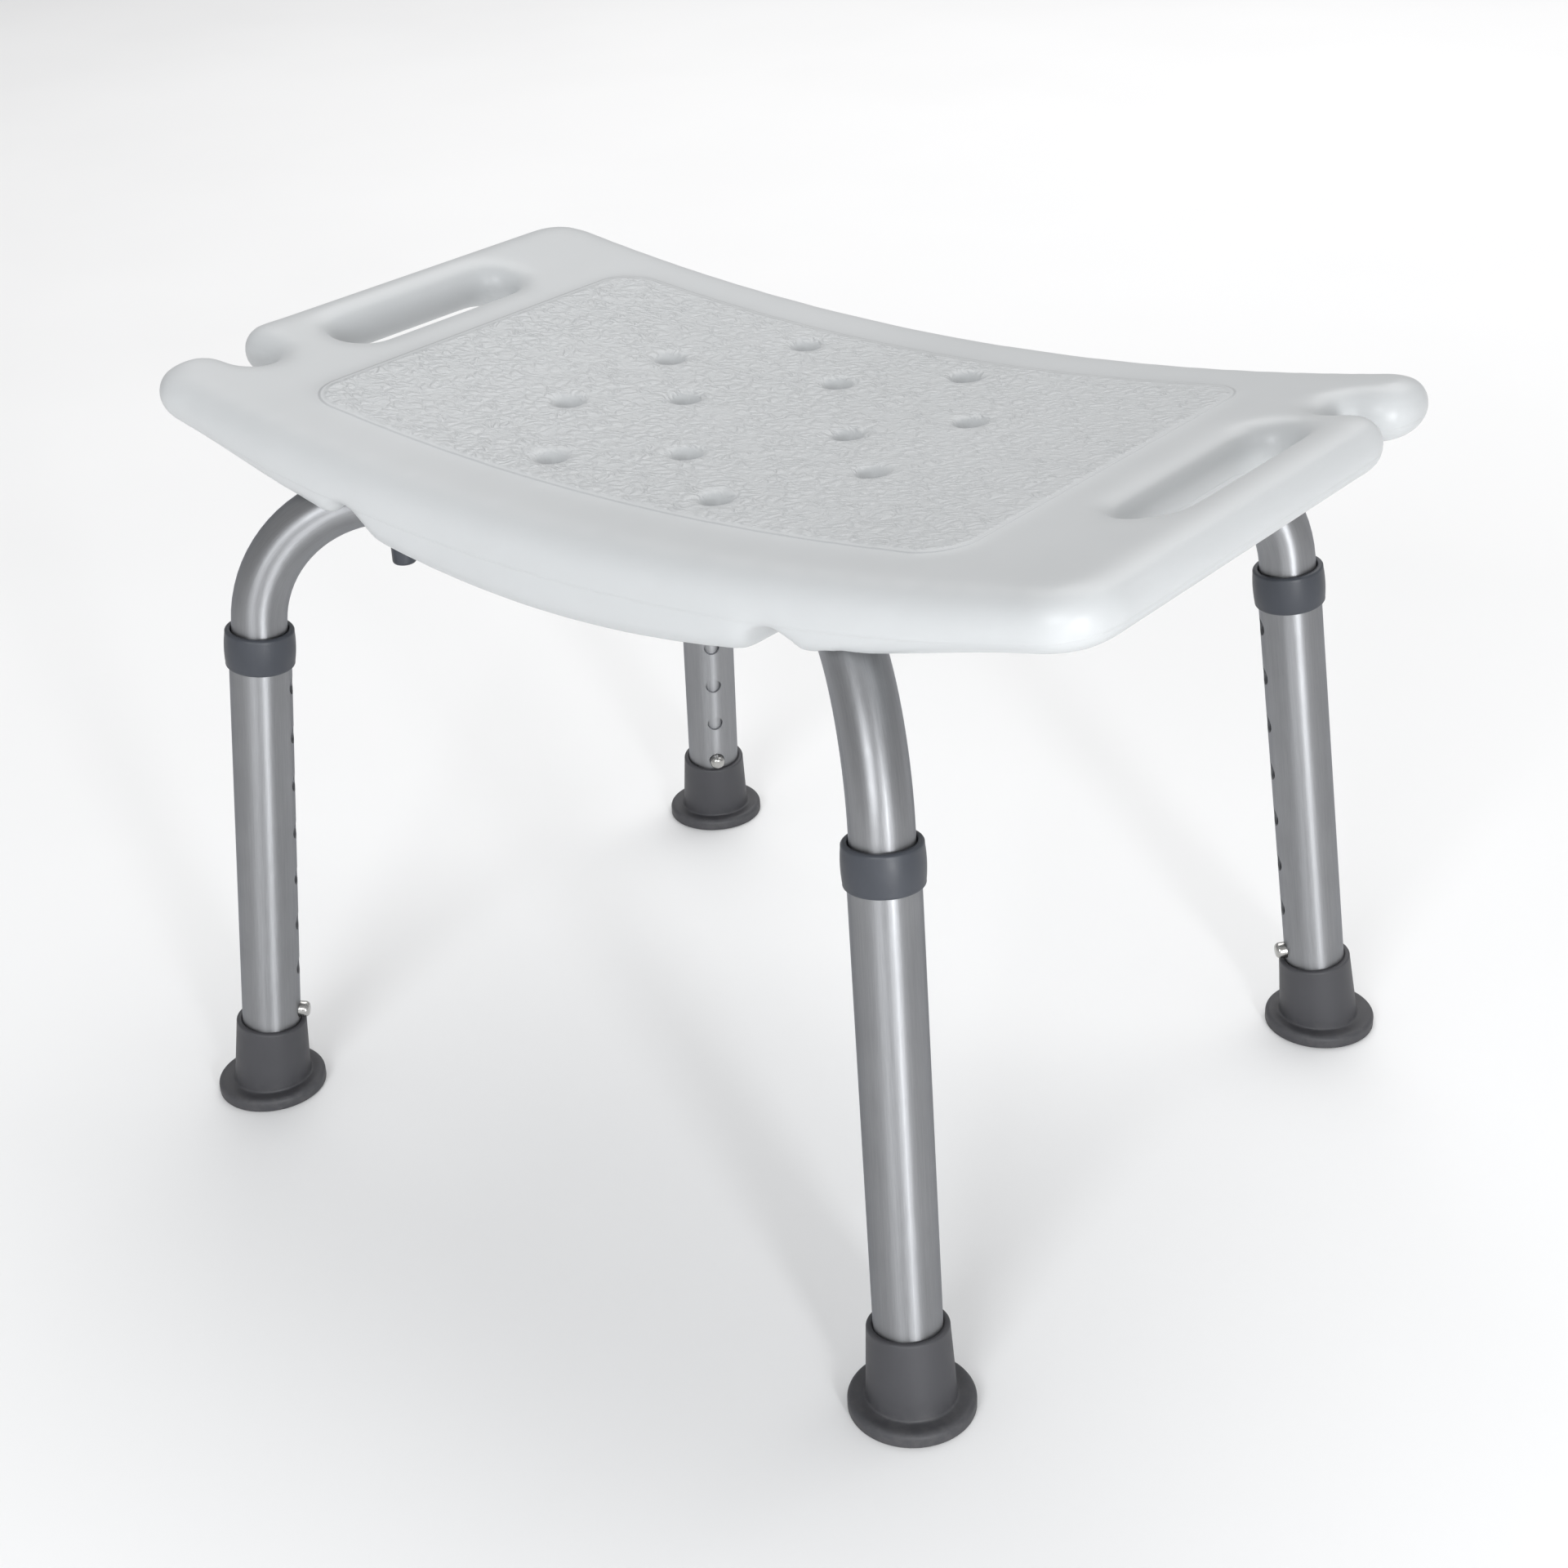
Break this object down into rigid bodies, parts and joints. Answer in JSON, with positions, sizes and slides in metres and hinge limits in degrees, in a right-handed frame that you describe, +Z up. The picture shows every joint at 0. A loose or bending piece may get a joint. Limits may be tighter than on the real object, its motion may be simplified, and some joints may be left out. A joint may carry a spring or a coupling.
{
  "type": "shower stool",
  "caption": "Height-adjustable shower stool with a wide curved drained seat, hand slots and hook notches on crossed bent tubes with telescoping splayed legs and rubber feet.",
  "frame": {"origin": "on the floor, midway between the four feet and under the middle of the seat, at the lowest leg setting", "axes": "+Z up, +X along the seat's long side, +Y towards the back long side"},
  "size_m": [0.515, 0.4016, 0.3581],
  "materials": {
    "seat_plastic": "satin, pale grey",
    "tube_aluminium": "satin anodised",
    "dark_plastic": "matt dark grey",
    "foot_rubber": "matt dark grey",
    "plated_steel": "zinc plated",
    "button_steel": "polished"
  },
  "bodies": {
    "frame": {"seat_board": "seat_plastic", "cross_tube_upper": "tube_aluminium", "cross_tube_lower": "tube_aluminium", "seat_studs": "plated_steel", "tube_saddles": "dark_plastic", "cap_nuts": "dark_plastic", "centre_bolt": "plated_steel", "centre_nut": "plated_steel", "centre_saddles": "plated_steel", "button_spring_front_left": "plated_steel", "button_spring_front_right": "plated_steel", "button_spring_back_right": "plated_steel", "button_spring_back_left": "plated_steel"},
    "leg_front_left": {"leg_tube_front_left": "tube_aluminium", "collar_front_left": "dark_plastic", "rubber_foot_front_left": "foot_rubber", "foot_disc_front_left": "plated_steel"},
    "button_front_left": {"snap_button_front_left": "button_steel"},
    "leg_front_right": {"leg_tube_front_right": "tube_aluminium", "collar_front_right": "dark_plastic", "rubber_foot_front_right": "foot_rubber", "foot_disc_front_right": "plated_steel"},
    "button_front_right": {"snap_button_front_right": "button_steel"},
    "leg_back_right": {"leg_tube_back_right": "tube_aluminium", "collar_back_right": "dark_plastic", "rubber_foot_back_right": "foot_rubber", "foot_disc_back_right": "plated_steel"},
    "button_back_right": {"snap_button_back_right": "button_steel"},
    "leg_back_left": {"leg_tube_back_left": "tube_aluminium", "collar_back_left": "dark_plastic", "rubber_foot_back_left": "foot_rubber", "foot_disc_back_left": "plated_steel"},
    "button_back_left": {"snap_button_back_left": "button_steel"}
  },
  "joints": [
    {"name": "leg_slide_front_left", "type": "slide", "parent": "frame", "child": "leg_front_left", "axis": [-0.0884, -0.0774, -0.9931], "range_m": [0, 0.1778], "deforming": ["snap_button_front_left", "button_spring_front_left"]},
    {"name": "button_press_front_left", "type": "slide", "parent": "frame", "child": "button_front_left", "axis": [-0.7472, -0.6541, 0.1175], "range_m": [0, 0.0064], "stiffness_N_per_m": 900, "springref_m": -0.001, "deforming": ["button_spring_front_left"]},
    {"name": "leg_slide_front_right", "type": "slide", "parent": "frame", "child": "leg_front_right", "axis": [0.0884, -0.0774, -0.9931], "range_m": [0, 0.1778], "deforming": ["snap_button_front_right", "button_spring_front_right"]},
    {"name": "button_press_front_right", "type": "slide", "parent": "frame", "child": "button_front_right", "axis": [0.7472, -0.6541, 0.1175], "range_m": [0, 0.0064], "stiffness_N_per_m": 900, "springref_m": -0.001, "deforming": ["button_spring_front_right"]},
    {"name": "leg_slide_back_right", "type": "slide", "parent": "frame", "child": "leg_back_right", "axis": [0.0884, 0.0774, -0.9931], "range_m": [0, 0.1778], "deforming": ["snap_button_back_right", "button_spring_back_right"]},
    {"name": "button_press_back_right", "type": "slide", "parent": "frame", "child": "button_back_right", "axis": [0.7472, 0.6541, 0.1175], "range_m": [0, 0.0064], "stiffness_N_per_m": 900, "springref_m": -0.001, "deforming": ["button_spring_back_right"]},
    {"name": "leg_slide_back_left", "type": "slide", "parent": "frame", "child": "leg_back_left", "axis": [-0.0884, 0.0774, -0.9931], "range_m": [0, 0.1778], "deforming": ["snap_button_back_left", "button_spring_back_left"]},
    {"name": "button_press_back_left", "type": "slide", "parent": "frame", "child": "button_back_left", "axis": [-0.7472, 0.6541, 0.1175], "range_m": [0, 0.0064], "stiffness_N_per_m": 900, "springref_m": -0.001, "deforming": ["button_spring_back_left"]}
  ]
}
